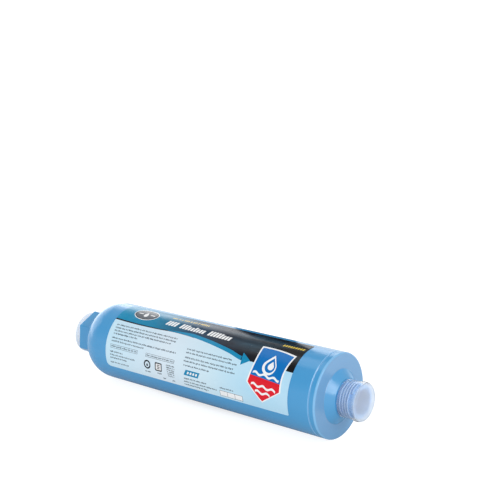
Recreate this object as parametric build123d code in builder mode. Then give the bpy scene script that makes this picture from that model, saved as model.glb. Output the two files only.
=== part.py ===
"""Inline water filter with hose ends, lying on its side: housing, closure, filter bed and dust caps.

The flow runs along +X, from the hexagonal inlet at -X to the threaded outlet at +X. The origin is
on the surface the filter lies on, under the middle of its length with both dust caps on.
"""
import os
from math import acos, cos, degrees, radians, sin, sqrt

from build123d import *

# ---------------------------------------------------------------- driving dimensions (millimetres)
half_length = 146.9            # half of the overall length, dust plug and dust cap included
barrel_radius = 33.0
wall = 3.0
bore_radius = barrel_radius - wall
axis_height = barrel_radius    # the barrel lies on the ground plane

# stations along the flow axis
hex_face_x = -141.2
shoulder_x = -104.2            # where the rounded shoulder meets the straight barrel
seam_x = 118.6                 # weld seam between the barrel and the closure
closure_face_x = 124.3         # flat ring around the outlet boss
boss_tip_x = 129.9
spigot_end_x = 143.9

# rounded shoulder and hexagon
shoulder_radius = 25.5
shoulder_offset = barrel_radius - shoulder_radius
hex_across_flats = 35.4
hex_turn = 27.0                # degrees, first corner counted from +Y towards +Z
hex_corner_round = 1.5
hex_face_round = 0.9
collar_radius = 21.3
collar_height = 2.8
collar_round = 0.9
crown_thickness = 4.0          # floor of the hose socket

# hose thread, 3/4-11.5 garden hose
thread_pitch = 2.209
thread_crest_width = 0.5
thread_root_width = 1.8
thread_bite = 0.2              # how far a ridge is sunk into its wall
male_crest_radius = 13.3
male_root_radius = 12.1
female_root_radius = 13.65
female_crest_radius = 12.35
socket_depth = 14.0
socket_mouth = 2.4             # plain lead-in before the first thread
spigot_lead_in = 1.2 * thread_pitch
waterway_radius = 8.0
outlet_bore_radius = 9.6

# closure
ring_inner_radius = 21.2
boss_tip_radius = 15.0
closure_plate = 4.0
closure_edge_round = 1.3
seam_chamfer = 0.5
weld_skirt_radius = bore_radius - 0.1
weld_skirt_wall = 2.8
weld_skirt_length = 7.7

# ribs inside both ends
rib_count = 6
rib_thickness = 2.0
rib_inner_radius = 11.0
closure_rib_start_radius = 12.9
closure_rib_end_radius = 29.0  # inside the wall of the weld skirt
rib_bite = 1.0                 # how far a closure rib is sunk into the plate behind it

# filter bed, stacked from the inlet plate to the closure ribs
bed_radius = 29.6
plate_x = -106.7
plate_thickness = 3.0
screen_thickness = 0.8
felt_thickness = 6.0
fine_bed_length = 30.0
divider_thickness = 5.0
carbon_bed_length = 159.5

# wrap label, a thin film on the barrel
label_film = 0.15
label_start_x = -91.2
label_end_x = 100.3
label_low_angle = -21.5        # degrees, from -Y towards +Z
label_high_angle = 93.5

slot_width = 2.4
slot_rings = [(12.0, 8, 8.0), (22.5, 16, 9.0)]   # circle radius, number and length of the slots
screen_rim = 2.5
screen_pitch = 5.2
screen_bar = 0.9
screen_bars = 11
foam_inner_radius = 13.0

# hose washer
washer_thickness = 3.0
washer_outer_radius = 13.2
washer_round = 0.5

# inlet dust plug
plug_flange_radius = 17.7
plug_flange = 1.2
plug_flange_round = 0.48
plug_neck_radius = 13.85
plug_mouth_radius = 12.4       # where it enters the socket
plug_tip_radius = 11.3
plug_tip_x = -136.0
plug_wall = 1.1

# outlet dust cap
cap_open_x = 130.8
cap_skirt_radius = 14.4
cap_bore_radius = 13.65
cap_rim_radius = 14.95
cap_rim_length = 5.2
cap_rim_round = 3.2
cap_end_wall = 1.8

flow_axis = Axis((0, 0, axis_height), (1, 0, 0))


def along_axis(turn=0.0):
    """Plane through the flow axis: local x runs along the flow, local y outwards.

    A turn of 0 points local y up; the angle grows from +Z towards -Y.
    """
    normal = (0, -cos(radians(turn)), -sin(radians(turn)))
    return Plane(origin=(0, 0, axis_height), x_dir=(1, 0, 0), z_dir=normal)


def across_axis(x):
    """Plane square to the flow axis at a station, its local x towards +Y and local y up."""
    return Plane(origin=(x, 0, axis_height), x_dir=(0, 1, 0), z_dir=(1, 0, 0))


def thread_ridge(start_x, length, wall_radius, crest_radius):
    """One helical thread ridge of the hose thread, standing on a wall of the given radius."""
    outward = 1 if crest_radius > wall_radius else -1
    base_radius = wall_radius - outward * thread_bite
    with BuildPart() as ridge:
        with BuildLine():
            turn_line = Helix(
                thread_pitch, length, base_radius,
                center=(start_x, 0, axis_height), direction=(1, 0, 0),
            )
        start = turn_line @ 0
        radial = start - Vector(start_x, 0, axis_height)
        with BuildSketch(Plane(origin=start, x_dir=radial, z_dir=turn_line % 0)):
            with BuildLine():
                depth = crest_radius - base_radius
                Polyline(
                    (0, -thread_root_width / 2),
                    (depth, -thread_crest_width / 2),
                    (depth, thread_crest_width / 2),
                    (0, thread_root_width / 2),
                    close=True,
                )
            make_face()
        sweep(path=turn_line, is_frenet=True)
    return ridge.part


# ---------------------------------------------------------------- housing: barrel, shoulder and hex
crown_x = shoulder_x - shoulder_radius
hex_circle = hex_across_flats / 2 / cos(radians(30))
collar_face_x = shoulder_x - sqrt(shoulder_radius**2 - (collar_radius - shoulder_offset)**2)
collar_face_x -= collar_height
socket_floor_x = hex_face_x + socket_depth
inner_face_x = socket_floor_x + crown_thickness
inner_shoulder_radius = shoulder_radius - wall
crown_reach = shoulder_x - inner_face_x
crown_angle = degrees(acos(crown_reach / inner_shoulder_radius))
buried_collar_x = shoulder_x - 2 * wall      # where the collar ends, inside the shoulder
buried_hex_x = crown_x + wall                # where the hexagon ends, inside the crown

# ribs: their outer edge runs in the middle of the shoulder's wall
rib_radius = inner_shoulder_radius + wall / 2
rib_end = 180 - degrees(acos(crown_reach / rib_radius))
rib_start = 90 + degrees(acos(sqrt(1 - ((shoulder_x - plate_x) / rib_radius)**2)))

with BuildPart() as housing_shell:
    # outer skin
    with BuildSketch(along_axis()):
        with BuildLine():
            Line((seam_x, 0), (seam_x, barrel_radius))
            Line((seam_x, barrel_radius), (shoulder_x, barrel_radius))
            CenterArc((shoulder_x, shoulder_offset), shoulder_radius, 90, 90)
            Line((crown_x, shoulder_offset), (crown_x, 0))
            Line((crown_x, 0), (seam_x, 0))
        make_face()
    revolve(axis=flow_axis)
    # collar under the hexagon
    with BuildSketch(across_axis(collar_face_x)):
        Circle(collar_radius)
    extrude(amount=buried_collar_x - collar_face_x)
    collar_edges = housing_shell.edges().filter_by(GeomType.CIRCLE)
    collar_edges = collar_edges.filter_by(lambda e: round(e.radius - collar_radius, 2) == 0)
    fillet(collar_edges.sort_by(Axis.X)[0], collar_round)
    # hexagonal inlet boss
    with BuildSketch(across_axis(hex_face_x)) as hex_outline:
        RegularPolygon(hex_circle, 6, rotation=hex_turn)
        fillet(hex_outline.vertices(), hex_corner_round)
    extrude(amount=buried_hex_x - hex_face_x)
    fillet(housing_shell.faces().sort_by(Axis.X)[0].edges(), hex_face_round)
    # inside of the barrel and shoulder, with a thicker crown behind the socket
    with BuildSketch(along_axis()):
        with BuildLine():
            Line((seam_x, 0), (seam_x, bore_radius))
            Line((seam_x, bore_radius), (shoulder_x, bore_radius))
            inner_arc = CenterArc(
                (shoulder_x, shoulder_offset), inner_shoulder_radius, 90, 90 - crown_angle
            )
            Line(inner_arc @ 1, (inner_face_x, 0))
            Line((inner_face_x, 0), (seam_x, 0))
        make_face()
    revolve(axis=flow_axis, mode=Mode.SUBTRACT)
    # socket and waterway
    with BuildSketch(across_axis(hex_face_x)):
        Circle(female_root_radius)
    extrude(amount=socket_depth, mode=Mode.SUBTRACT)
    with BuildSketch(across_axis(socket_floor_x)):
        Circle(waterway_radius)
    extrude(amount=crown_thickness, mode=Mode.SUBTRACT)
    # ribs that carry the inlet plate
    for k in range(rib_count):
        with BuildSketch(along_axis(k * 360 / rib_count)):
            with BuildLine():
                rib_arc = CenterArc(
                    (shoulder_x, shoulder_offset), rib_radius, rib_start, rib_end - rib_start
                )
                Line(rib_arc @ 1, (inner_face_x, rib_inner_radius))
                Line((inner_face_x, rib_inner_radius), (plate_x, rib_inner_radius))
                Line((plate_x, rib_inner_radius), rib_arc @ 0)
            make_face()
        extrude(amount=rib_thickness / 2, both=True)
    # edge of the weld seam
    seam_edge = housing_shell.edges().filter_by(GeomType.CIRCLE).sort_by(Axis.X)[-2:]
    chamfer(seam_edge.sort_by(SortBy.RADIUS)[-1], seam_chamfer)
    # hose thread in the socket
    thread_start = hex_face_x + socket_mouth
    thread_length = socket_depth - socket_mouth - washer_thickness - thread_pitch
    add(thread_ridge(thread_start, thread_length, female_root_radius, female_crest_radius))
housing_shell.part.label = "housing_shell"

# ---------------------------------------------------------------- closure with the outlet spigot
closure_inner_x = closure_face_x - closure_plate
skirt_start_x = closure_inner_x - weld_skirt_length

with BuildPart() as outlet_end_cap:
    with BuildSketch(along_axis()):
        with BuildLine():
            Polyline(
                (skirt_start_x, weld_skirt_radius - weld_skirt_wall),
                (skirt_start_x, weld_skirt_radius),
                (seam_x, weld_skirt_radius),
                (seam_x, barrel_radius - seam_chamfer),
                (seam_x + seam_chamfer, barrel_radius),
                (closure_face_x, barrel_radius),
                (closure_face_x, ring_inner_radius),
                (boss_tip_x, boss_tip_radius),
                (boss_tip_x, male_root_radius),
                (spigot_end_x, male_root_radius),
                (spigot_end_x, outlet_bore_radius),
                (closure_inner_x, outlet_bore_radius),
                (closure_inner_x, weld_skirt_radius - weld_skirt_wall),
                close=True,
            )
        make_face()
    revolve(axis=flow_axis)
    outer_rims = outlet_end_cap.edges().filter_by(GeomType.CIRCLE).group_by(SortBy.RADIUS)[-1]
    fillet(outer_rims.sort_by(Axis.X)[-1], closure_edge_round)
    # ribs that press on the foam ring
    with BuildSketch(across_axis(skirt_start_x)):
        with PolarLocations((closure_rib_start_radius + closure_rib_end_radius) / 2, rib_count):
            Rectangle(closure_rib_end_radius - closure_rib_start_radius, rib_thickness)
    extrude(amount=weld_skirt_length + rib_bite)
    # hose thread on the spigot
    spigot_thread_x = boss_tip_x + thread_pitch
    spigot_thread_length = spigot_end_x - spigot_lead_in - spigot_thread_x
    add(thread_ridge(spigot_thread_x, spigot_thread_length, male_root_radius, male_crest_radius))
outlet_end_cap.part.label = "outlet_end_cap"

# ---------------------------------------------------------------- wrap label
label_span = label_high_angle - label_low_angle
with BuildPart() as wrap_label:
    with BuildSketch(along_axis(90 - label_high_angle)):
        with Locations(((label_start_x + label_end_x) / 2, barrel_radius + label_film / 2)):
            Rectangle(label_end_x - label_start_x, label_film)
    revolve(axis=flow_axis, revolution_arc=label_span)
wrap_label.part.label = "wrap_label"

# ---------------------------------------------------------------- filter bed, stacked along the flow
def bed_disc(name, start_x, thickness):
    """Plain round layer of the bed: felt or granules, filling the barrel."""
    with BuildPart() as layer:
        with BuildSketch(across_axis(start_x)):
            Circle(bed_radius)
        extrude(amount=thickness)
    layer.part.label = name
    return layer.part


def support_plate(name, start_x):
    """Slotted plate that carries the bed and spreads the flow, with a plain middle."""
    with BuildPart() as plate:
        with BuildSketch(across_axis(start_x)):
            Circle(bed_radius)
            for slot_circle, slot_count, slot_length in slot_rings:
                with PolarLocations(slot_circle, slot_count):
                    SlotOverall(slot_length, slot_width, mode=Mode.SUBTRACT)
        extrude(amount=plate_thickness)
    plate.part.label = name
    return plate.part


def mesh_screen(name, start_x):
    """Moulded screen: a rim and a square lattice of bars."""
    with BuildPart() as screen:
        with BuildSketch(across_axis(start_x)):
            Circle(bed_radius)
            with BuildSketch(mode=Mode.SUBTRACT):
                Circle(bed_radius - screen_rim)
                with GridLocations(screen_pitch, 2 * bed_radius, screen_bars, 1):
                    Rectangle(screen_bar, 2 * bed_radius, mode=Mode.SUBTRACT)
                with GridLocations(2 * bed_radius, screen_pitch, 1, screen_bars):
                    Rectangle(2 * bed_radius, screen_bar, mode=Mode.SUBTRACT)
        extrude(amount=screen_thickness)
    screen.part.label = name
    return screen.part


screen_x = plate_x + plate_thickness
inlet_felt_x = screen_x + screen_thickness
fine_bed_x = inlet_felt_x + felt_thickness
divider_x = fine_bed_x + fine_bed_length
carbon_bed_x = divider_x + divider_thickness
outlet_felt_x = carbon_bed_x + carbon_bed_length
outlet_screen_x = outlet_felt_x + felt_thickness
outlet_plate_x = outlet_screen_x + screen_thickness
foam_x = outlet_plate_x + plate_thickness

bed = [
    support_plate("inlet_support_plate", plate_x),
    mesh_screen("inlet_screen", screen_x),
    bed_disc("inlet_felt_pad", inlet_felt_x, felt_thickness),
    bed_disc("fine_media_bed", fine_bed_x, fine_bed_length),
    bed_disc("media_divider_pad", divider_x, divider_thickness),
    bed_disc("carbon_media_bed", carbon_bed_x, carbon_bed_length),
    bed_disc("outlet_felt_pad", outlet_felt_x, felt_thickness),
    mesh_screen("outlet_screen", outlet_screen_x),
    support_plate("outlet_support_plate", outlet_plate_x),
]

with BuildPart() as compression_foam_ring:
    with BuildSketch(across_axis(foam_x)):
        Circle(weld_skirt_radius - weld_skirt_wall)
        Circle(foam_inner_radius, mode=Mode.SUBTRACT)
    extrude(amount=skirt_start_x - foam_x)
compression_foam_ring.part.label = "compression_foam_ring"

# ---------------------------------------------------------------- hose washer in the inlet socket
with BuildPart() as inlet_hose_washer:
    with BuildSketch(across_axis(socket_floor_x - washer_thickness)):
        Circle(washer_outer_radius)
        Circle(waterway_radius, mode=Mode.SUBTRACT)
    extrude(amount=washer_thickness)
    fillet(inlet_hose_washer.edges().filter_by(GeomType.CIRCLE), washer_round)
inlet_hose_washer.part.label = "inlet_hose_washer"

# ---------------------------------------------------------------- dust plug in the inlet
plug_start_x = -half_length
with BuildPart() as inlet_dust_plug:
    with BuildSketch(along_axis()):
        with BuildLine():
            Polyline(
                (plug_start_x, plug_neck_radius - plug_wall),
                (plug_start_x, plug_flange_radius),
                (plug_start_x + plug_flange, plug_flange_radius),
                (plug_start_x + plug_flange, plug_neck_radius),
                (hex_face_x, plug_mouth_radius),
                (plug_tip_x, plug_tip_radius),
                (plug_tip_x, 0),
                (plug_tip_x - plug_wall, 0),
                (plug_tip_x - plug_wall, plug_tip_radius - plug_wall),
                (hex_face_x, plug_mouth_radius - plug_wall),
                close=True,
            )
        make_face()
    revolve(axis=flow_axis)
    flange_rims = inlet_dust_plug.edges().filter_by(GeomType.CIRCLE).group_by(SortBy.RADIUS)[-1]
    fillet(flange_rims, plug_flange_round)
inlet_dust_plug.part.label = "inlet_dust_plug"

# ---------------------------------------------------------------- dust cap on the outlet thread
cap_rim_x = half_length - cap_rim_length
round_x = half_length - cap_rim_round        # where the rim starts to turn into the end
round_radius = cap_rim_radius - cap_rim_round
with BuildPart() as outlet_dust_cap:
    with BuildSketch(along_axis()):
        with BuildLine():
            CenterArc((round_x, round_radius), cap_rim_round, 0, 90)
            Polyline(
                (round_x, cap_rim_radius),
                (cap_rim_x + cap_rim_radius - cap_skirt_radius, cap_rim_radius),
                (cap_rim_x, cap_skirt_radius),
                (cap_open_x, cap_skirt_radius),
                (cap_open_x, cap_bore_radius),
                (half_length - cap_end_wall, cap_bore_radius),
                (half_length - cap_end_wall, 0),
                (half_length, 0),
                (half_length, round_radius),
            )
        make_face()
    revolve(axis=flow_axis)
outlet_dust_cap.part.label = "outlet_dust_cap"

# ---------------------------------------------------------------- files, one per piece
shells = [housing_shell, outlet_end_cap, wrap_label, inlet_hose_washer]
shells += [compression_foam_ring, inlet_dust_plug, outlet_dust_cap]
os.makedirs("parts", exist_ok=True)
for piece in bed + [shell.part for shell in shells]:
    export_step(piece, f"parts/{piece.label}.step")
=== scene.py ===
import random
from math import acos, asin, cos, pi, radians, sin

import bmesh
import bpy
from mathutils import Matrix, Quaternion, Vector
from mathutils.geometry import delaunay_2d_cdt


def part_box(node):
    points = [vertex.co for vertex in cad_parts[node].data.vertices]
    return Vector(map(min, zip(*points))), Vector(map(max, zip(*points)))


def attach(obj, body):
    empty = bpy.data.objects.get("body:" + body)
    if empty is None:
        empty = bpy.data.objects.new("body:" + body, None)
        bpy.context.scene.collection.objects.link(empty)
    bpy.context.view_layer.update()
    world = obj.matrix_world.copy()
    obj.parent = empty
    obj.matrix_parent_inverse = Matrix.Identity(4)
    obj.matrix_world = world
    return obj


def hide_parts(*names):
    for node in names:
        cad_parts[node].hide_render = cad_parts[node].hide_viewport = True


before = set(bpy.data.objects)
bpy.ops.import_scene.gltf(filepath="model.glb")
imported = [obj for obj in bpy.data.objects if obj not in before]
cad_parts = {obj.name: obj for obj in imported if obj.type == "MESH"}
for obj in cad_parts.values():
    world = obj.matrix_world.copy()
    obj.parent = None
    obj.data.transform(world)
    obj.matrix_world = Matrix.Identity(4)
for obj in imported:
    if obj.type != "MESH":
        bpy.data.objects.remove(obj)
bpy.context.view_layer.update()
scene = bpy.context.scene
scene.view_settings.view_transform = "Standard"

MM = 0.001


# ---------------------------------------------------------------- material kit
def paint(red, green, blue):
    """Linear colour from ordinary 0-255 colour values."""
    shares = [value / 255 for value in (red, green, blue)]
    linear = [share / 12.92 if share <= 0.04045 else ((share + 0.055) / 1.055) ** 2.4 for share in shares]
    return tuple(linear) + (1.0,)


class Finish:
    """A Principled material being built up from nodes, in object coordinates (metres)."""

    def __init__(self, name, **sockets):
        self.material = bpy.data.materials.new(name)
        self.material.use_nodes = True
        self.nodes = self.material.node_tree.nodes
        self.shader = self.nodes["Principled BSDF"]
        self.place = self.nodes.new("ShaderNodeTexCoord").outputs["Object"]
        for socket, value in sockets.items():
            self.shader.inputs[socket.replace("_", " ")].default_value = value

    def join(self, source, target):
        """Sets a socket to another node's output, or to a plain value."""
        if isinstance(source, bpy.types.NodeSocket):
            self.material.node_tree.links.new(source, target)
        else:
            target.default_value = source

    def stretched(self, stretch):
        """Object coordinates scaled along each axis."""
        node = self.nodes.new("ShaderNodeMapping")
        self.join(self.place, node.inputs["Vector"])
        node.inputs["Scale"].default_value = stretch
        return node.outputs["Vector"]

    def noise(self, size, detail=2.0, stretch=(1, 1, 1)):
        """Cloudy noise from 0 to 1 whose features are about size metres across."""
        node = self.nodes.new("ShaderNodeTexNoise")
        self.join(self.stretched(stretch), node.inputs["Vector"])
        node.inputs["Scale"].default_value = 1 / size
        node.inputs["Detail"].default_value = detail
        return node.outputs["Fac"]

    def cells(self, size, output="Distance"):
        """Voronoi cells about size metres across: the distance to a cell's middle, or each cell's colour."""
        node = self.nodes.new("ShaderNodeTexVoronoi")
        self.join(self.place, node.inputs["Vector"])
        node.inputs["Scale"].default_value = 1 / size
        return node.outputs[output]

    def maths(self, operation, first, second=0.0):
        """One Math node."""
        node = self.nodes.new("ShaderNodeMath")
        node.operation = operation
        self.join(first, node.inputs[0])
        self.join(second, node.inputs[1])
        return node.outputs[0]

    def length_of(self, vector, scale):
        """Length of a vector after each of its axes is scaled."""
        scaled = self.nodes.new("ShaderNodeVectorMath")
        scaled.operation = "MULTIPLY"
        self.join(vector, scaled.inputs[0])
        self.join(scale, scaled.inputs[1])
        node = self.nodes.new("ShaderNodeVectorMath")
        node.operation = "LENGTH"
        self.join(scaled.outputs[0], node.inputs[0])
        return node.outputs["Value"]

    def station(self):
        """Position along the flow, in metres."""
        node = self.nodes.new("ShaderNodeSeparateXYZ")
        self.join(self.place, node.inputs[0])
        return node.outputs["X"]

    def along(self, low, high):
        """0 to 1 along the flow, from low to high metres."""
        return self.spread(self.station(), low, high, 0.0, 1.0)

    def around(self, middle, reach):
        """1 within half the reach of a station along the flow, falling to 0 at the reach."""
        distance = self.maths("ABSOLUTE", self.maths("SUBTRACT", self.station(), middle))
        return self.spread(distance, reach / 2, reach, 1.0, 0.0)

    def outwards(self, low, high):
        """0 to 1 with the distance from the barrel's axis, from low to high metres."""
        centred = self.nodes.new("ShaderNodeVectorMath")
        centred.operation = "SUBTRACT"
        self.join(self.place, centred.inputs[0])
        self.join((0.0, 0.0, axis_height), centred.inputs[1])
        distance = self.length_of(centred.outputs[0], (0.0, 1.0, 1.0))
        return self.spread(distance, low, high, 0.0, 1.0)

    def spread(self, value, low, high, to_low, to_high):
        """Maps a range of values onto another, held at both ends."""
        node = self.nodes.new("ShaderNodeMapRange")
        for socket, number in zip(node.inputs, (value, low, high, to_low, to_high)):
            self.join(number, socket)
        return node.outputs["Result"]

    def ramp(self, value, *stops):
        """Colour ramp through (position, colour) stops."""
        node = self.nodes.new("ShaderNodeValToRGB")
        self.join(value, node.inputs["Fac"])
        elements = node.color_ramp.elements
        while len(elements) < len(stops):
            elements.new(0.5)
        for element, (position, colour) in zip(elements, stops):
            element.position = position
            element.color = colour
        return node.outputs["Color"]

    def mixed(self, share, first, second):
        """Blends two colours by a share from 0 to 1."""
        node = self.nodes.new("ShaderNodeMixRGB")
        for socket, source in zip(node.inputs, (share, first, second)):
            self.join(source, socket)
        return node.outputs["Color"]

    def shades(self, value, colour, darker):
        """A colour that a 0 to 1 value takes between darker and itself."""
        dark = tuple(channel * darker for channel in colour[:3]) + (1.0,)
        return self.mixed(value, dark, colour)

    def bumps(self, *layers):
        """Surface relief from (height value, metres deep) layers."""
        below = None
        for height, deep in layers:
            node = self.nodes.new("ShaderNodeBump")
            node.inputs["Distance"].default_value = deep
            self.join(height, node.inputs["Height"])
            if below is not None:
                self.join(below, node.inputs["Normal"])
            below = node.outputs["Normal"]
        self.join(below, self.shader.inputs["Normal"])

    def colour(self, source):
        """Base colour from a node's output."""
        self.join(source, self.shader.inputs["Base Color"])

    def roughness(self, value, low, high):
        """Roughness from low to high, as a noise value goes through its middle range."""
        self.join(self.spread(value, 0.3, 0.7, low, high), self.shader.inputs["Roughness"])


# ---------------------------------------------------------------- moulded parts
axis_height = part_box("housing_shell")[1].z / 2
# where the dust plug's and the dust cap's plastic starts to change between wall and milkier end
plug_change_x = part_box("inlet_dust_plug")[0].x + 1.0 * MM
cap_change_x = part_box("outlet_dust_cap")[1].x - 3.0 * MM
milky_change = 1.5 * MM
# stations on the closure: flat ring around the outlet boss, weld seam, and the boss's tip
ring_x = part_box("outlet_end_cap")[1].x - 19.6 * MM
seam_x = ring_x - 5.7 * MM
edge_x = ring_x - 0.9 * MM
boss_tip_x = ring_x + 5.6 * MM
highlight_ring_reach = 0.9 * MM
# outlet thread: radii between which its painted highlight comes in, and how far past the boss's tip its plain
# end starts
highlight_from_radius = 12.5 * MM
highlight_at_radius = 13.1 * MM
thread_length = 11.5 * MM


def blue_plastic():
    """Injection-moulded blue housing plastic: faint flow clouding, fine orange peel, soft gloss, with painted
    reflection, sheen and highlights on the closure and the outlet thread.
    """
    finish = Finish("blue_plastic", IOR=1.5)
    clouds = finish.noise(30 * MM, 3, stretch=(0.35, 1, 1))
    speckle = finish.noise(0.7 * MM)
    tint = finish.mixed(clouds, paint(59, 147, 205), paint(69, 157, 211))
    # painted reflection: the flat ring is painted greyer than the rest; the boss past it is a little greyer,
    # a painted sheen
    ring_painted_reflection = finish.along(ring_x - 0.5 * MM, ring_x - 0.1 * MM)
    boss_painted_sheen = finish.along(ring_x + 0.1 * MM, ring_x + 0.3 * MM)
    tint = finish.mixed(ring_painted_reflection, tint, paint(111, 158, 200))
    tint = finish.mixed(boss_painted_sheen, tint, paint(82, 156, 207))
    # painted highlights: pale rings at the weld seam and at the closure's outer edge
    for station in (seam_x, edge_x):
        painted_ring_highlight = finish.spread(finish.around(station, highlight_ring_reach), 0.0, 1.0, 0.0, 0.7)
        tint = finish.mixed(painted_ring_highlight, tint, paint(146, 200, 240))
    tint = finish.mixed(finish.spread(speckle, 0.35, 0.65, 0.0, 0.12), tint, paint(64, 152, 208))
    # outlet thread: its crests and its plain end are painted paler than its roots, as painted highlights
    crests = finish.outwards(highlight_from_radius, highlight_at_radius)
    thread_painted_highlight = finish.mixed(crests, paint(84, 154, 212), paint(176, 208, 242))
    plain_end_highlight = finish.along(boss_tip_x + thread_length, boss_tip_x + thread_length + 1.0 * MM)
    thread_painted_highlight = finish.mixed(plain_end_highlight, thread_painted_highlight, paint(132, 182, 228))
    finish.colour(finish.mixed(finish.along(boss_tip_x, boss_tip_x + 0.2 * MM), tint, thread_painted_highlight))
    finish.roughness(finish.noise(4 * MM, 4), 0.16, 0.24)
    finish.bumps((finish.noise(1.6 * MM, 2), 0.012 * MM), (clouds, 0.05 * MM))
    return finish.material


def milky_plastic():
    """Unpigmented polyethylene of the dust plug and cap.

    The walls let the thread show, and the ends are milkier.
    """
    finish = Finish("natural_plastic", IOR=1.12)
    clouds = finish.noise(7 * MM, 2)
    past_plug_end = finish.along(plug_change_x, plug_change_x + milky_change)
    plug_end = finish.spread(past_plug_end, 0.0, 1.0, 1.0, 0.0)
    cap_end = finish.along(cap_change_x, cap_change_x + milky_change)
    end = finish.maths("ADD", cap_end, plug_end)
    finish.colour(finish.mixed(clouds, paint(228, 235, 244), paint(239, 244, 249)))
    finish.join(finish.spread(end, 0.0, 1.0, 0.88, 0.74), finish.shader.inputs["Transmission Weight"])
    finish.join(finish.spread(end, 0.0, 1.0, 0.0, 0.3), finish.shader.inputs["Roughness"])
    finish.bumps((clouds, 0.02 * MM))
    # lamps shine through the thin walls onto the thread
    clear = finish.nodes.new("ShaderNodeBsdfTransparent")
    light_path = finish.nodes.new("ShaderNodeLightPath")
    blend = finish.nodes.new("ShaderNodeMixShader")
    finish.join(light_path.outputs["Is Shadow Ray"], blend.inputs[0])
    finish.join(finish.shader.outputs[0], blend.inputs[1])
    finish.join(clear.outputs[0], blend.inputs[2])
    finish.join(blend.outputs[0], finish.nodes["Material Output"].inputs["Surface"])
    return finish.material


def white_plastic():
    """White polypropylene of the inner plates and screens."""
    finish = Finish("white_plastic", IOR=1.49)
    clouds = finish.noise(9 * MM, 3)
    finish.colour(finish.mixed(clouds, paint(226, 227, 224), paint(240, 241, 239)))
    finish.roughness(finish.noise(2 * MM), 0.32, 0.45)
    finish.bumps((finish.noise(0.8 * MM), 0.01 * MM))
    return finish.material


def rubber():
    """Black washer rubber with a dusty bloom."""
    finish = Finish("washer_rubber", IOR=1.52)
    bloom = finish.noise(1.5 * MM, 4)
    finish.colour(finish.mixed(bloom, paint(24, 24, 26), paint(52, 52, 54)))
    finish.roughness(bloom, 0.55, 0.75)
    finish.bumps((finish.noise(0.35 * MM), 0.02 * MM))
    return finish.material


def felt():
    """White needle felt: matted fibres that lie every way across the pad."""
    finish = Finish("white_felt", Sheen_Weight=0.4)
    fibres = finish.noise(0.5 * MM, 6, stretch=(2.5, 0.35, 1))
    crossed = finish.noise(0.5 * MM, 6, stretch=(2.5, 1, 0.35))
    both = finish.mixed(0.5, fibres, crossed)
    finish.colour(finish.mixed(both, paint(204, 204, 198), paint(243, 243, 238)))
    finish.roughness(both, 0.85, 0.98)
    finish.bumps((both, 0.35 * MM))
    return finish.material


def granules(name, dark, light, size, metallic, rough):
    """Packed granules: each grain has its own tone, with deep gaps between the grains that are darkened by
    painted shade.
    """
    finish = Finish(name, Metallic=metallic)
    shade = finish.cells(size, "Color")
    gap = finish.cells(size)
    grains = finish.mixed(shade, dark, light)
    # painted shade: the colour darkens towards the gaps between the grains
    finish.colour(finish.mixed(finish.spread(gap, 0.1, 0.6, 0.9, 0.1), dark, grains))
    finish.roughness(finish.noise(size / 3), rough - 0.1, rough + 0.1)
    finish.bumps((finish.spread(gap, 0.0, 0.7, 1.0, 0.0), 0.5 * size))
    return finish.material


def foam():
    """Grey open-cell foam, with painted shade darkening the middle of each pore."""
    finish = Finish("foam")
    pores = finish.cells(1.1 * MM)
    walls = finish.spread(pores, 0.1, 0.5, 0.0, 1.0)
    # painted shade: darker towards the middle of each pore
    finish.colour(finish.mixed(walls, paint(62, 64, 68), paint(126, 129, 134)))
    finish.roughness(pores, 0.8, 0.95)
    finish.bumps((pores, 0.4 * MM))
    return finish.material


finishes = {
    "blue_plastic": blue_plastic(),
    "natural_plastic": milky_plastic(),
    "white_plastic": white_plastic(),
    "washer_rubber": rubber(),
    "white_felt": felt(),
    "metal_granules": granules(
        "metal_granules", paint(96, 66, 34), paint(196, 158, 92), size=1.3 * MM, metallic=0.9, rough=0.4),
    "carbon_granules": granules(
        "carbon_granules", paint(12, 12, 13), paint(44, 45, 48), size=1.8 * MM, metallic=0.0, rough=0.6),
    "foam": foam(),
}
slot_of_node = {
    "housing_shell": "blue_plastic",
    "outlet_end_cap": "blue_plastic",
    "inlet_dust_plug": "natural_plastic",
    "outlet_dust_cap": "natural_plastic",
    "inlet_hose_washer": "washer_rubber",
    "inlet_support_plate": "white_plastic",
    "inlet_screen": "white_plastic",
    "inlet_felt_pad": "white_felt",
    "fine_media_bed": "metal_granules",
    "media_divider_pad": "white_felt",
    "carbon_media_bed": "carbon_granules",
    "outlet_felt_pad": "white_felt",
    "outlet_screen": "white_plastic",
    "outlet_support_plate": "white_plastic",
    "compression_foam_ring": "foam",
}
for node_name, slot_name in slot_of_node.items():
    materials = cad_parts[node_name].data.materials
    materials.clear()
    materials.append(finishes[slot_name])


# ---------------------------------------------------------------- printed film
def printed(name, tint):
    """Glossy printed film. tint gives the ink's colour from the finish being built."""
    finish = Finish(name, IOR=1.26)
    dots = finish.noise(0.35 * MM)
    finish.colour(tint(finish))
    finish.roughness(finish.noise(5 * MM, 3), 0.18, 0.28)
    finish.bumps((finish.noise(7 * MM, 3, stretch=(0.5, 1, 1)), 0.03 * MM), (dots, 0.004 * MM))
    return finish.material


def flat_ink(colour):
    """An even ink, a little thinner in places."""
    return lambda finish: finish.shades(finish.noise(3 * MM, 4), colour, 0.9)


label_low, label_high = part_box("wrap_label")
film_radius = label_high.z - axis_height
low_angle = asin((label_low.z - axis_height) / film_radius)
high_angle = acos(-label_high.y / film_radius)
sheet_length = (label_high.x - label_low.x) / MM
sheet_height = film_radius * (high_angle - low_angle) / MM


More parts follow.
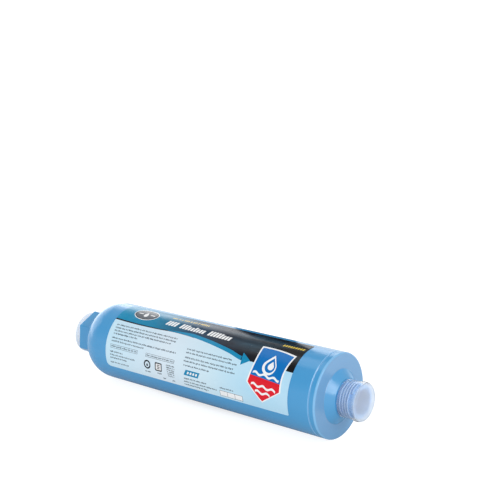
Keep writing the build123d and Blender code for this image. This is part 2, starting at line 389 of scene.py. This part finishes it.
def sheet_tint(finish):
    """Pale water blue, whiter in the middle of the sheet, with soft ripples."""
    along = finish.along(label_low.x, label_high.x)
    base = finish.ramp(
        along,
        (0.0, paint(193, 228, 246)), (0.35, paint(216, 231, 243)),
        (0.6, paint(202, 229, 243)), (0.85, paint(174, 219, 243)), (1.0, paint(174, 218, 243)),
    )
    ripples = finish.noise(22 * MM, 4, stretch=(0.4, 1, 1))
    return finish.mixed(finish.spread(ripples, 0.4, 0.7, 0.0, 0.25), base, paint(218, 238, 248))


def band_tint(finish):
    """Deep water: teal at the inlet end, sinking to charcoal at the outlet end, with light streaks."""
    along = finish.along(label_low.x, label_high.x)
    base = finish.ramp(
        along,
        (0.0, paint(6, 140, 184)), (0.22, paint(4, 126, 166)), (0.42, paint(14, 66, 96)),
        (0.6, paint(22, 36, 54)), (0.8, paint(16, 18, 26)), (1.0, paint(8, 8, 11)),
    )
    streaks = finish.noise(16 * MM, 5, stretch=(0.25, 1.4, 1.4))
    return finish.mixed(finish.spread(streaks, 0.55, 0.8, 0.0, 0.18), base, paint(70, 150, 186))


INKS = {
    "sheet": printed("film_sheet", sheet_tint),
    "band": printed("film_band", band_tint),
    "text": printed("film_text", flat_ink(paint(44, 60, 76))),
    "line": printed("film_line", flat_ink(paint(14, 22, 34))),
    "arrow": printed("film_arrow", flat_ink(paint(14, 138, 184))),
    "white": printed("film_white", flat_ink(paint(246, 248, 250))),
    "gold": printed("film_gold", flat_ink(paint(228, 196, 60))),
    "blue": printed("film_blue", flat_ink(paint(0, 114, 192))),
    "red": printed("film_red", flat_ink(paint(226, 18, 40))),
    "grey": printed("film_grey", flat_ink(paint(104, 110, 118))),
}
ink_order = list(INKS)
dice = random.Random(7)
artwork = []            # (ink, outline) in millimetres from the sheet's lower inlet corner, later ones on top


def put(ink, outline):
    """Adds a printed shape, its outline turned anticlockwise."""
    points = [tuple(point) for point in outline]
    doubled_area = sum(a[0] * b[1] - b[0] * a[1] for a, b in zip(points, points[1:] + points[:1]))
    artwork.append((ink, points if doubled_area > 0 else points[::-1]))


def rectangle(left, bottom, right, top, lean=0.0):
    """Corner points of a box whose top is shifted by lean."""
    return [(left, bottom), (right, bottom), (right + lean, top), (left + lean, top)]


def arc(centre_x, centre_y, radius_x, radius_y, start, end, steps):
    """Points along an arc, from one angle to another in degrees."""
    angles = [radians(start + (end - start) * k / steps) for k in range(steps + 1)]
    return [(centre_x + radius_x * cos(a), centre_y + radius_y * sin(a)) for a in angles]


def ellipse(centre_x, centre_y, radius_x, radius_y, steps=36):
    """Points round a whole ellipse."""
    return arc(centre_x, centre_y, radius_x, radius_y, 0, 360 - 360 / steps, steps - 1)


def rounded(left, bottom, right, top, radius, steps=5):
    """Box with round corners."""
    corners = [(right - radius, top - radius, 0), (left + radius, top - radius, 90),
               (left + radius, bottom + radius, 180), (right - radius, bottom + radius, 270)]
    return [p for x, y, start in corners for p in arc(x, y, radius, radius, start, start + 90, steps)]


def smooth(points, steps=6):
    """Catmull-Rom line through the points."""
    def between(p, q, r, s, t):
        """One coordinate, a share t of the way from q to r."""
        square = 2 * p - 5 * q + 4 * r - s
        cube = 3 * q - p - 3 * r + s
        return 0.5 * (2 * q + (r - p) * t + square * t**2 + cube * t**3)

    padded = [points[0]] + points + [points[-1]]
    line = []
    for a, b, c, d in zip(padded, padded[1:], padded[2:], padded[3:]):
        for k in range(steps):
            line.append(tuple(between(*four, k / steps) for four in zip(a, b, c, d)))
    return line + [points[-1]]


def text_line(left, right, base, tall=0.95):
    """A row of plain blocks that stands for a line of small print."""
    letter = 0.78
    x = left
    while x < right:
        word_end = x + letter * dice.randint(2, 8)
        while x < min(word_end, right):
            width = letter * dice.uniform(0.5, 0.78)
            reach = dice.choice((0.0, 0.0, 0.0, 0.35, 0.35, -0.3))
            top = base + tall * (1 + max(reach, 0))
            put("text", rectangle(x, base + tall * min(reach, 0), x + width, top))
            x += letter
        x += letter * 0.75


# the sheet's rounded corners, going anticlockwise
inlet_corner = 4.0
outlet_corner = 1.5
outlet_x = sheet_length - outlet_corner
lower_outlet = arc(outlet_x, outlet_corner, outlet_corner, outlet_corner, 270, 360, 5)
upper_outlet = arc(outlet_x, sheet_height - outlet_corner, outlet_corner, outlet_corner, 0, 90, 5)
upper_inlet = arc(inlet_corner, sheet_height - inlet_corner, inlet_corner, inlet_corner, 90, 180, 8)
lower_inlet = arc(inlet_corner, inlet_corner, inlet_corner, inlet_corner, 180, 270, 8)

# wave edge of the dark band
wave = smooth([(0, 43.0), (25, 42.3), (48, 42.6), (66, 43.4), (84, 43.0), (100, 41.4), (112, 39.8),
               (129, 36.8), (142, 33.6), (150, 34.4), (165, 34.2), (sheet_length, 33.7)])
put("band", wave + upper_outlet + upper_inlet)


def along_wave(start, end, thickness, below=0.0):
    """Strip on the wave edge; thickness(x) is how far it reaches up from the edge, below how far down."""
    part = [p for p in wave if start <= p[0] <= end]
    return [(x, y - below) for x, y in part] + [(x, y + thickness(x)) for x, y in reversed(part)]


# dark line that thins out along the wave, and the flow arrow that grows from it
line_end = 92
arrow_start = 60
put("line", along_wave(0, line_end, lambda x: 1.2 - 1.1 * x / line_end, 0.25))
put("arrow", along_wave(arrow_start, 142, lambda x: min(3.3, 0.3 + (x - arrow_start) * 0.11)))
put("arrow", [(142.0, 40.2), (143.4, 30.0), (151.0, 34.8)])

# oval emblem with a droplet between two bars
emblem_x = 26.2
emblem_y = 55.6
put("white", ellipse(emblem_x, emblem_y, 13.2, 7.4))
put("line", ellipse(emblem_x, emblem_y, 12.5, 6.7))
put("grey", ellipse(emblem_x, emblem_y, 11.6, 5.9))


def droplet(x, y, size):
    """Water drop, point up."""
    return [(x, y + 1.7 * size)] + arc(x, y, size, size, 150, 390, 18)


put("white", droplet(emblem_x, 54.4, 2.2))
for side in (-1, 1):
    bar_x = emblem_x + side * 6.6
    put("white", rounded(bar_x - 2.6, 55.2, bar_x + 2.6, 56.3, 0.5))

# title: leaning bars in three groups, on a base line that falls a little towards the outlet
title_start = 52.7
title_slope = -1.6 / 71
bar_width = 2.2
bar_pitch = 3.0
group_gap = 3.6
high_bar = 5.6
middle_bar = 5.3
low_bar = 4.1
x = title_start
for heights in (
    [high_bar] * 4,
    [high_bar] * 3 + [low_bar] * 2 + [middle_bar] + [low_bar] * 3,
    [high_bar] * 4 + [middle_bar] + [low_bar] * 3,
):
    for tall in heights:
        base = 49.0 + title_slope * (x - title_start)
        put("white", rectangle(x, base, x + bar_width, base + tall, 0.25 * tall))
        x += bar_pitch
    x += group_gap

# gold dashes of uneven height over the title, and a row of even ones at the outlet end
dash_base = 58.7
x = 52.8
while x < 92.5:
    tall = dice.uniform(1.5, 2.6)
    put("gold", rectangle(x, dash_base, x + 1.1, dash_base + tall, 0.5))
    x += dice.choice((1.9, 1.9, 3.0))
x = 169.0
while x < 188:
    put("gold", rectangle(x, 55.4, x + 1.5, 57.7, 0.5))
    x += 2.25

# small print: left end, right end and base line of each row
for left, right, base in (
    (5.3, 74.0, 37.6), (5.3, 74.0, 34.8), (5.7, 70.7, 32.1), (5.9, 33.1, 29.5),
    (5.6, 78.4, 25.8), (5.9, 42.8, 23.1),
    (88.4, 134.3, 31.5), (88.7, 140.0, 28.6), (88.8, 137.4, 24.7), (88.3, 140.5, 21.8), (88.6, 115.5, 18.5),
    (5.5, 20.4, 14.0), (5.5, 34.3, 11.2), (5.6, 24.7, 8.6), (5.1, 26.8, 4.3),
    (89.5, 112.8, 7.8), (89.1, 122.9, 5.0), (89.2, 114.6, 2.4), (126.7, 139.9, 8.0),
    (46.0, 52.0, 4.6), (60.0, 65.0, 5.6), (66.0, 69.0, 2.4), (76.0, 79.0, 2.2),
):
    text_line(left, right, base)
# a block of rows whose left ends step inwards
for k in range(6):
    text_line(70.0 + 0.4 * k, 78.6, 14.6 - 1.75 * k, tall=0.8)

# two framed rows
frame_line = 0.25
frame_bottom = 17.6
frame_top = 20.7
for left, right in ((5.5, 37.4), (46.7, 78.6)):
    put("text", rectangle(left, frame_bottom, right, frame_top))
    put("sheet", rectangle(left + frame_line, frame_bottom + frame_line,
                           right - frame_line, frame_top - frame_line))
    text_line(left + 1, right - 1, 18.6, tall=0.9)

# round and square marks
ring_mark_x = 49.0
put("line", ellipse(ring_mark_x, 11.4, 3.8, 3.8, 28))
put("sheet", ellipse(ring_mark_x, 11.4, 2.5, 2.5, 28))
put("line", droplet(ring_mark_x, 10.9, 1.0))
put("line", rounded(57.7, 8.0, 65.3, 15.2, 1.0))
put("white", rounded(58.7, 9.0, 64.3, 14.2, 0.6))
for k in range(3):
    put("line", rectangle(60.0, 9.9 + 1.4 * k, 63.0, 10.6 + 1.4 * k))

# small slanted plate
put("arrow", [(89.2, 11.0), (104.2, 11.0), (106.2, 15.6), (91.4, 15.6)])
for k in range(4):
    put("white", rectangle(92.6 + 2.9 * k, 12.3, 94.3 + 2.9 * k, 14.3, 0.7))

# date boxes
put("text", rectangle(126.2, 1.6, 148.8, 6.3))
for k in range(3):
    box_x = 126.5 + 7.43 * k
    put("white", rectangle(box_x, 1.9, box_x + 7.15, 6.0))

# crest, measured down from the middle of its top edge
crest_centre = (171.0, 49.0)
crest_turn = radians(-4.3)
crest_half_width = 16.7     # at the top
crest_waist = 1.7           # how far the sides bow in
crest_bow_length = 33
crest_arch = 1.1            # how far the top edge rises in its middle
crest_side_end = -31.0      # where the sides turn towards the foot
crest_foot_half_width = 16.2
crest_foot_length = 12.6
crest_foot_tip = -43.6
crest_split = -25.0         # where the upper colour ends and the lower one starts
crest_border = 1.3          # width of the white border


def on_crest(points):
    """Crest points, from the middle of its top edge, turned and moved to their place on the sheet."""
    return [(crest_centre[0] + x * cos(crest_turn) - y * sin(crest_turn),
             crest_centre[1] + x * sin(crest_turn) + y * cos(crest_turn)) for x, y in points]


def crest_outline(inset, top=0.0, bottom=-44.0):
    """Shield outline between two heights: arched top, hollow sides and a pointed foot."""
    foot_trim = 0.9 * inset

    def half_width(y):
        if y > crest_side_end:
            return crest_half_width - crest_waist * sin(pi * min(1, -y / crest_bow_length)) - inset
        above_tip = y - crest_foot_tip - foot_trim
        return (crest_foot_half_width - inset) * above_tip / (crest_foot_length - foot_trim)

    foot = crest_foot_tip + foot_trim
    has_arch = top == 0
    highest = top - inset if has_arch else top
    stations = [highest, crest_side_end, foot] + [-2.0 * k for k in range(1, 22)]
    if bottom > foot:
        stations.append(bottom)
    levels = sorted({y for y in stations if bottom <= y <= highest}, reverse=True)
    right = [(half_width(y), y) for y in levels]
    left = [(-half_width(y), y) for y in reversed(levels) if half_width(y) > 0.01]
    outline = right + left
    if has_arch:
        edge, edge_y = right[0]
        outline += [(edge * k / 6, edge_y + crest_arch * (1 - (k / 6) ** 2)) for k in range(-5, 6)]
    return outline


put("white", on_crest(crest_outline(0)))
put("blue", on_crest(crest_outline(crest_border, bottom=crest_split)))
put("red", on_crest(crest_outline(crest_border, top=crest_split)))
put("white", on_crest(droplet(0, -15.5, 6.2)))
put("blue", on_crest(droplet(0.6, -15.2, 4.6)))
put("white", on_crest(droplet(1.2, -14.9, 2.6)))

# wavy stripes, each with its level on the crest and its half length
wave_steps = 48
wave_height = 0.8
wave_length = 4.4
stripe_thickness = 1.7
for level, reach in ((-21.8, 12.5), (-30.5, 11.5), (-35.0, 7.0)):
    crests = []
    for k in range(wave_steps + 1):
        swell = wave_height * sin(2 * pi * reach * k / wave_steps / wave_length)
        crests.append((-reach + 2 * reach * k / wave_steps, level + swell))
    put("white", on_crest(crests + [(x, y - stripe_thickness) for x, y in reversed(crests)]))

film_outer = film_radius - 0.015 * MM       # just inside the room kept for the film
film_inner = film_radius - 0.12 * MM


def printed_wrap():
    """The label as one thin closed film, its faces cut along every printed edge."""
    outline = lower_outlet + upper_outlet + upper_inlet + lower_inlet
    shapes = [("sheet", outline)] + artwork
    points = []
    loops = []
    edges = []
    for _, shape in shapes:
        loops.append(list(range(len(points), len(points) + len(shape))))
        points += [Vector(p) for p in shape]
    # lines along the flow, close enough together for the film to follow the barrel
    strips = 48
    edge_gap = 0.01
    for k in range(1, strips):
        height = sheet_height * k / strips
        into_corner = max(0.0, inlet_corner - min(height, sheet_height - height))
        inset = inlet_corner - (inlet_corner**2 - into_corner**2) ** 0.5
        edges.append((len(points), len(points) + 1))
        points += [Vector((inset + edge_gap, height)), Vector((sheet_length - edge_gap, height))]
    only_inside = 1
    snap_distance = 1e-4
    flat, _, faces, _, _, origins = delaunay_2d_cdt(points, edges, loops, only_inside, snap_distance)

    # the flat sheet, rolled onto the barrel as a printed face, an inner face and walls between their rims
    mesh = bpy.data.meshes.new("printed_wrap")
    angles = [low_angle + p.y * MM / film_radius for p in flat]
    verts = [(label_low.x + p.x * MM, -r * cos(a), axis_height + r * sin(a))
             for r in (film_outer, film_inner) for p, a in zip(flat, angles)]
    count = len(flat)
    sides = dict.fromkeys(pair for face in faces for pair in zip(face, face[1:] + face[:1]))
    rims = [(a, b) for a, b in sides if (b, a) not in sides]
    top = [list(face) for face in faces]
    under = [[v + count for v in reversed(face)] for face in faces]
    walls = [[b, a, a + count, b + count] for a, b in rims]
    mesh.from_pydata(verts, [], top + under + walls)
    for ink in ink_order:
        mesh.materials.append(INKS[ink])
    for polygon in mesh.polygons:
        polygon.use_smooth = True
        ink = shapes[max(origins[polygon.index])][0] if polygon.index < len(top) else "sheet"
        polygon.material_index = ink_order.index(ink)
    # both faces shade as the smooth cylinder they lie on
    normals = []
    for polygon in mesh.polygons:
        for v in polygon.vertices:
            a = angles[v % count]
            radial = Vector((0, -cos(a), sin(a)))
            if polygon.index < len(top):
                normals.append(radial)
            elif polygon.index < 2 * len(top):
                normals.append(-radial)
            else:
                normals.append(polygon.normal.copy())
    mesh.normals_split_custom_set(normals)
    piece = bpy.data.objects.new("printed_wrap", mesh)
    scene.collection.objects.link(piece)
    return piece


wrap = printed_wrap()
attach(wrap, "filter_body")
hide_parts("wrap_label")


# ---------------------------------------------------------------- studio
floor_half_width = 8.0


def studio_floor():
    """Wide pale floor the filter lies on."""
    mesh = bpy.data.meshes.new("floor")
    builder = bmesh.new()
    bmesh.ops.create_grid(builder, x_segments=8, y_segments=8, size=floor_half_width)
    builder.to_mesh(mesh)
    builder.free()
    floor = bpy.data.objects.new("floor", mesh)
    scene.collection.objects.link(floor)
    finish = Finish("floor_paper", Roughness=0.9, Emission_Color=(1, 1, 1, 1))
    finish.colour(finish.mixed(finish.noise(3 * MM, 4), paint(148, 148, 148), paint(154, 154, 154)))
    # lit from below like a light table, dimmer where the filter's long footprint lies: a painted shadow. The
    # glow that is looked at and the glow that falls on the filter are set apart; the latter is far dimmer
    # near the filter, painting shade on its underside
    footprint_scale = (0.2, 1.0, 0.0)
    away = finish.length_of(finish.place, footprint_scale)
    unseen_reach = 80 * MM
    seen_reach = 18 * MM
    unseen_glow_painted_shade = finish.spread(away, 0.0, unseen_reach, 0.03, 0.75)
    seen_glow_painted_shadow = finish.spread(away, 0.0, seen_reach, 0.62, 0.88)
    light_path = finish.nodes.new("ShaderNodeLightPath")
    glow = finish.nodes.new("ShaderNodeMix")
    finish.join(light_path.outputs["Is Camera Ray"], glow.inputs["Factor"])
    finish.join(unseen_glow_painted_shade, glow.inputs[2])
    finish.join(seen_glow_painted_shadow, glow.inputs[3])
    finish.join(glow.outputs[0], finish.shader.inputs["Emission Strength"])
    mesh.materials.append(finish.material)


studio_floor()

# pale surroundings, by the sine of the elevation: white walls under a dimmer ceiling
world = bpy.data.worlds.new("studio")
scene.world = world
world.use_nodes = True
world_nodes = world.node_tree.nodes
direction = world_nodes.new("ShaderNodeTexCoord").outputs["Generated"]
split = world_nodes.new("ShaderNodeSeparateXYZ")
sky = world_nodes.new("ShaderNodeValToRGB")
background = world_nodes["Background"]
world.node_tree.links.new(direction, split.inputs[0])
world.node_tree.links.new(split.outputs["Z"], sky.inputs["Fac"])
world.node_tree.links.new(sky.outputs["Color"], background.inputs["Color"])
background.inputs["Strength"].default_value = 1.2
sky_stops = ((0.06, 1.0), (0.25, 0.7), (0.5, 0.5), (1.0, 0.5))
while len(sky.color_ramp.elements) < len(sky_stops):
    sky.color_ramp.elements.new(0.5)
for element, (position, level) in zip(sky.color_ramp.elements, sky_stops):
    element.position = position
    element.color = (level, level, level, 1.0)


def sky_direction(azimuth, elevation):
    """Unit vector; azimuth counts from +X towards +Y, both in degrees."""
    a, e = radians(azimuth), radians(elevation)
    return Vector((cos(a) * cos(e), sin(a) * cos(e), sin(e)))


def softbox(name, aim, azimuth, elevation, distance, width, height, tilt, radiance):
    """Rectangular area light in a direction from the point it is aimed at, itself out of the camera's sight.

    Sizes are in metres, angles in degrees; tilt turns the light about its direction.
    """
    data = bpy.data.lights.new(name, "AREA")
    data.shape = "RECTANGLE"
    data.size = width
    data.size_y = height
    data.energy = radiance * pi * width * height
    light = bpy.data.objects.new(name, data)
    towards = sky_direction(azimuth, elevation)
    light.location = Vector(aim) + towards * distance
    facing = towards.to_track_quat("Z", "Y") @ Quaternion((0, 0, 1), radians(tilt))
    light.rotation_euler = facing.to_euler()
    light.visible_camera = False
    scene.collection.objects.link(light)


middle = (0, 0, axis_height)
outlet = (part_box("outlet_end_cap")[1].x, 0, axis_height)
softbox("key_strip", outlet, azimuth=-17, elevation=30, distance=1.2,
        width=0.25, height=0.92, tilt=-36, radiance=8.0)
softbox("left_box", middle, azimuth=168, elevation=17, distance=1.4,
        width=1.7, height=1.0, tilt=0, radiance=1.5)
softbox("rim_box", middle, azimuth=128, elevation=31, distance=1.6,
        width=0.8, height=0.56, tilt=0, radiance=2.0)
softbox("low_rim_box", middle, azimuth=128, elevation=12, distance=1.6,
        width=0.8, height=0.42, tilt=0, radiance=0.6)
softbox("top_box", middle, azimuth=180, elevation=57, distance=1.2,
        width=0.55, height=0.35, tilt=0, radiance=1.5)


def reflection_card(half_width, distance, height):
    """Upright dark card behind the filter that only shows as a reflection in its gloss."""
    mesh = bpy.data.meshes.new("reflection_card")
    corners = [
        (-half_width, distance, 0.0),
        (half_width, distance, 0.0),
        (half_width, distance, height),
        (-half_width, distance, height),
    ]
    mesh.from_pydata(corners, [], [(0, 1, 2, 3)])
    card = bpy.data.objects.new("reflection_card", mesh)
    scene.collection.objects.link(card)
    finish = Finish("card_paper", Roughness=0.9)
    finish.colour(finish.mixed(finish.noise(5 * MM, 3), paint(10, 34, 56), paint(16, 42, 66)))
    mesh.materials.append(finish.material)
    card.visible_camera = False
    card.visible_diffuse = False
    card.visible_transmission = False
    card.visible_shadow = False


reflection_card(half_width=0.034, distance=0.075, height=0.15)


# ---------------------------------------------------------------- camera
camera_yaw = radians(39.04)
camera_pitch = radians(10.91)
camera_distance = 0.7806    # from the aim point, in metres
aim_point = Vector((0.02898, 0.0, 0.1394))
camera_data = bpy.data.cameras.new("camera")
camera_data.lens = 75
camera_data.sensor_width = 36
camera = bpy.data.objects.new("camera", camera_data)
forward = Vector((
    -sin(camera_yaw) * cos(camera_pitch),
    cos(camera_yaw) * cos(camera_pitch),
    -sin(camera_pitch),
))
camera.location = aim_point - forward * camera_distance
camera.rotation_euler = (radians(90) - camera_pitch, 0, camera_yaw)
scene.collection.objects.link(camera)
scene.camera = camera
